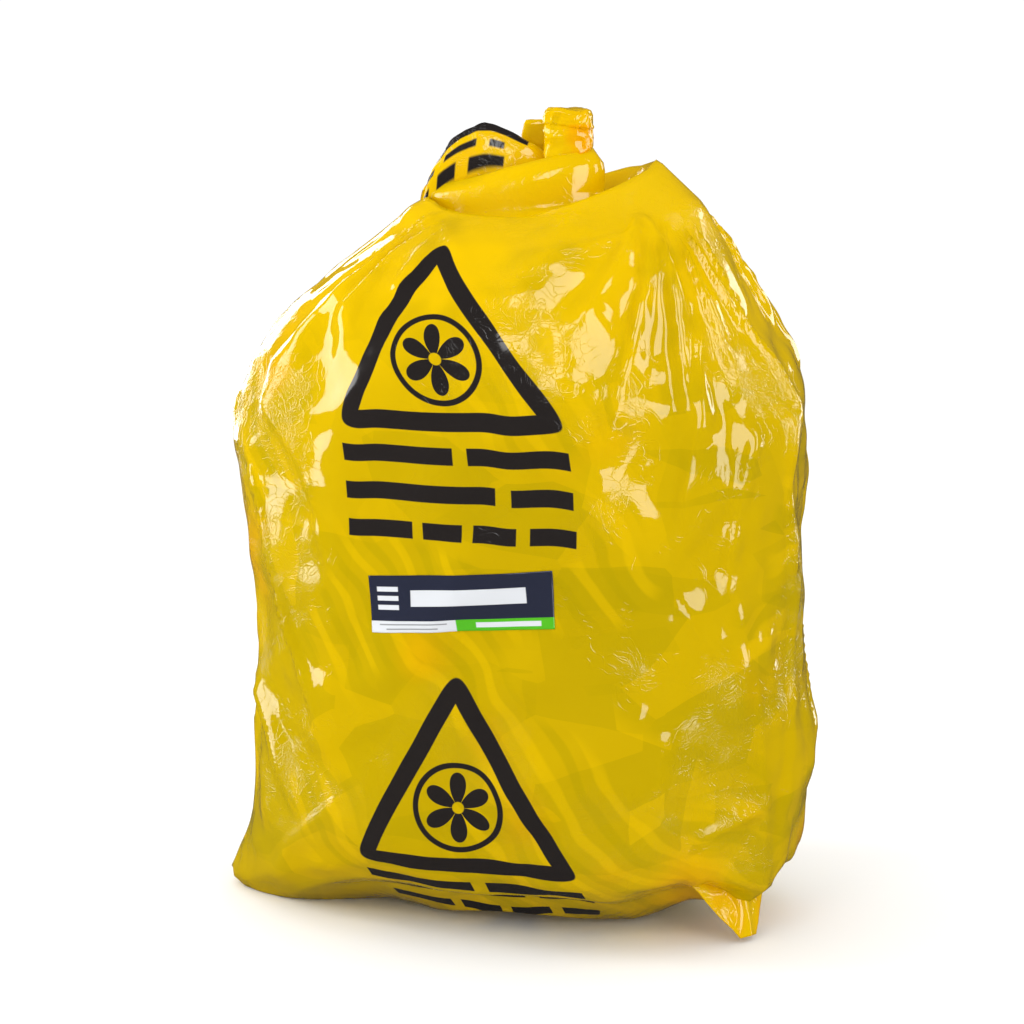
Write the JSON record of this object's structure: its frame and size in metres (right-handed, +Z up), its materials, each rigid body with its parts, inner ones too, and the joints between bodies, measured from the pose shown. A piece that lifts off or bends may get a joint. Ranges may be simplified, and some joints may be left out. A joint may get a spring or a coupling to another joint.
{
  "type": "biohazard waste bag",
  "caption": "Filled plastic film sack for clinical waste, its neck twisted, folded over and knotted shut, standing on its base with a stick-on label on the front.",
  "frame": {"origin": "on the floor, under the middle of the sack's box", "axes": "+Z up; the printed front faces -Y; the sack's wider side runs along X"},
  "size_m": [0.509, 0.3686, 0.6792],
  "materials": {
    "film": "glossy thin film, creased",
    "waste": "loose crumpled waste seen through the film",
    "label": "printed gloss sticker"
  },
  "bodies": {
    "root": {"bag_film": "film", "waste_fill": "waste", "label": "label"}
  },
  "joints": []
}
